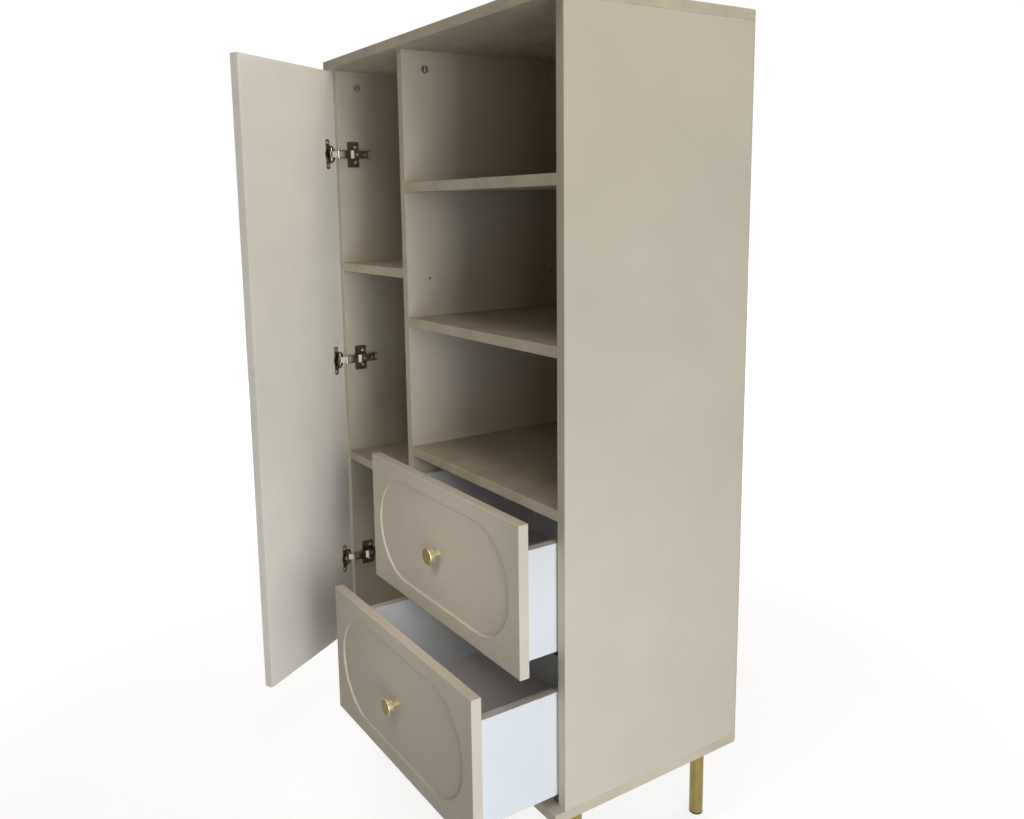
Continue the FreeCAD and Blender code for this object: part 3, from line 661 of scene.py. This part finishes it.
# %% A floor that keeps the shadow
FLOOR_SIZE = 40.0
FLOOR_GLOW = 0.79
NEAR, FAR = 0.9, 2.2  # metres from the middle of the cabinet, between which the glow grows
FLECK, FLOOR_ROUGH = 40.0, (0.7, 0.8)
mesh = bpy.data.meshes.new("floor")
half = FLOOR_SIZE / 2
corners = [(-half, -half, 0), (half, -half, 0), (half, half, 0), (-half, half, 0)]
mesh.from_pydata(corners, [], [(0, 1, 2, 3)])
floor = bpy.data.objects.new("floor", mesh)
bpy.context.scene.collection.objects.link(floor)


def seen_directly(tree):
    """One for rays that the eye follows: straight, mirrored or through glass."""
    path = add(tree, "LightPath")
    first = add(tree, "Math", {0: path.outputs["Is Camera Ray"], 1: path.outputs["Is Glossy Ray"]},
                operation="MAXIMUM")
    both = add(tree, "Math", {0: first.outputs[0], 1: path.outputs["Is Transmission Ray"]},
               operation="MAXIMUM")
    return both.outputs[0]


# matt floor paint: a plain ground with no shine, on which only the shadow shows
paint, tree, shader = new_material("floor paint, matt")
spot = add(tree, "TexCoord").outputs["Object"]
fleck = add(tree, "TexNoise", {"Vector": spot, "Scale": per_mm(FLECK)})
soft = add(tree, "MapRange", {"Value": fleck.outputs["Fac"],
                              "To Min": FLOOR_ROUGH[0], "To Max": FLOOR_ROUGH[1]})
away = add(tree, "VectorMath", {0: spot}, operation="LENGTH")
fade = add(tree, "MapRange", {"Value": away.outputs["Value"], "From Min": NEAR, "From Max": FAR,
                              "To Min": FLOOR_GLOW, "To Max": 1.0}, interpolation_type="SMOOTHSTEP")
glow = add(tree, "Math", {0: seen_directly(tree), 1: fade.outputs[0]}, operation="MULTIPLY")
set_inputs(tree, shader, {"Base Color": linear("#949290"), "Roughness": soft.outputs[0],
                          "Emission Color": linear("#FFFFFF"), "Emission Strength": glow.outputs[0]})
mesh.materials.append(paint)
print("floor", FLOOR_SIZE, "m across")

# %% [markdown]
# ## World
# The world is white to the eye and in reflections, but it gives the cabinet almost no light: that is
# left to the lamps, so that the niches stay as deep and dark as they are in a room.

# %% White backdrop
DIM_LIGHT = 0.01
world = bpy.data.worlds.new("studio")
bpy.context.scene.world = world
world.use_nodes = True
tree = world.node_tree
tree.nodes.clear()
dim = add(tree, "Background", {"Color": linear("#E9ECF0"), "Strength": DIM_LIGHT})
white = add(tree, "Background", {"Color": linear("#FFFFFF"), "Strength": 1.0})
mixed = add(tree, "MixShader", {0: seen_directly(tree), 1: dim.outputs[0], 2: white.outputs[0]})
add(tree, "OutputWorld", {"Surface": mixed.outputs[0]})
print("the world lights the cabinet at", DIM_LIGHT)

# %% [markdown]
# ## Light
# Most of the light falls from the right, as through a large window: one wide, far lamp, a nearer one
# that reaches into the niches, and a low, cool one that fades up the side. A weak warm lamp stands for
# the room in front. Two small ones graze the fronts and the open drawers from above, so that the walls
# of the sunk fields catch the light. Two more light the back and the left side, for other views.

# %% Lamps
WIDE_OPEN, LOW_SPREAD, FRONT_SPREAD = 180, 85, 55
PALE = "#FFFDFA"


def lamp(name, place, target, size, power, colour, spread=WIDE_OPEN):
    """A soft rectangular lamp that looks at a point: metres, watts and degrees."""
    light = bpy.data.lights.new(name, "AREA")
    light.shape = "RECTANGLE"
    light.size, light.size_y = size
    light.energy = power
    light.color = linear(colour)[:3]
    light.spread = math.radians(spread)
    made = bpy.data.objects.new(name, light)
    bpy.context.scene.collection.objects.link(made)
    aim = (Vector(target) - Vector(place)).to_track_quat("-Z", "Y")
    made.matrix_world = Matrix.Translation(place) @ aim.to_matrix().to_4x4()
    made.visible_camera = False


lamp("far_window", (5.0, -0.5, 1.0), (0.0, -0.2, 0.7), (2.0, 2.0), 101.0, "#FFFCF6")
lamp("side_window", (2.4, -1.0, 1.3), (0.1, -0.2, 0.9), (1.0, 0.8), 7.0, PALE)
lamp("low_window", (1.6, -0.7, 0.3), (0.3, -0.1, 0.2), (0.8, 0.5), 1.8, "#DCE8FC", LOW_SPREAD)
lamp("room", (-0.7, -1.7, 0.8), (0.1, -0.2, 0.5), (0.8, 0.8), 2.4, "#FFEBD8")
lamp("front", (0.46, -0.72, 1.0), (0.15, -0.32, 0.5), (0.3, 0.3), 0.235, "#FFF4EC", FRONT_SPREAD)
lamp("ceiling", (0.6, -0.32, 2.45), (0.05, -0.32, 0.45), (1.0, 0.2), 9.5, "#FFF0E2")
lamp("behind", (0.6, 4.2, 1.2), (0.0, 0.2, 0.7), (2.0, 2.0), 72.0, PALE)
lamp("left", (-4.2, 1.2, 1.2), (-0.3, 0.0, 0.7), (2.0, 2.0), 80.0, PALE)
print("lamps:", len(bpy.data.lights))

# %% [markdown]
# ## Camera
# The photograph was taken from the right, a little above the middle of the cabinet and tilted down,
# with a slight roll. The numbers come from fitting a pinhole camera to the corners of the boards, which
# is surer than matching by eye. The lens doesn't look through the middle of the picture, so the camera
# is shifted.

# %% Camera
IMAGE = (1024, 819)
FOCAL_PIXELS = 899.21
CENTRE_PIXELS = (464.55, 344.70)
SENSOR = 36.0
EYE = (1.44545, -1.01543, 1.14224)
AZIMUTH, TILT, ROLL = 58.111, 8.802, -1.116

view = bpy.data.cameras.new("photo_camera")
view.sensor_width = SENSOR
view.lens = FOCAL_PIXELS / IMAGE[0] * SENSOR
view.shift_x = (IMAGE[0] / 2 - CENTRE_PIXELS[0]) / IMAGE[0]
view.shift_y = (CENTRE_PIXELS[1] - IMAGE[1] / 2) / IMAGE[0]
eye = bpy.data.objects.new("photo_camera", view)
bpy.context.scene.collection.objects.link(eye)
turn = Matrix.Rotation(math.radians(AZIMUTH), 4, "Z")
turn = turn @ Matrix.Rotation(math.radians(90 - TILT), 4, "X")
turn = turn @ Matrix.Rotation(math.radians(ROLL), 4, "Z")
eye.matrix_world = Matrix.Translation(EYE) @ turn
bpy.context.scene.camera = eye
bpy.context.scene.view_settings.view_transform = "Standard"
print("lens", round(view.lens, 1), "mm")
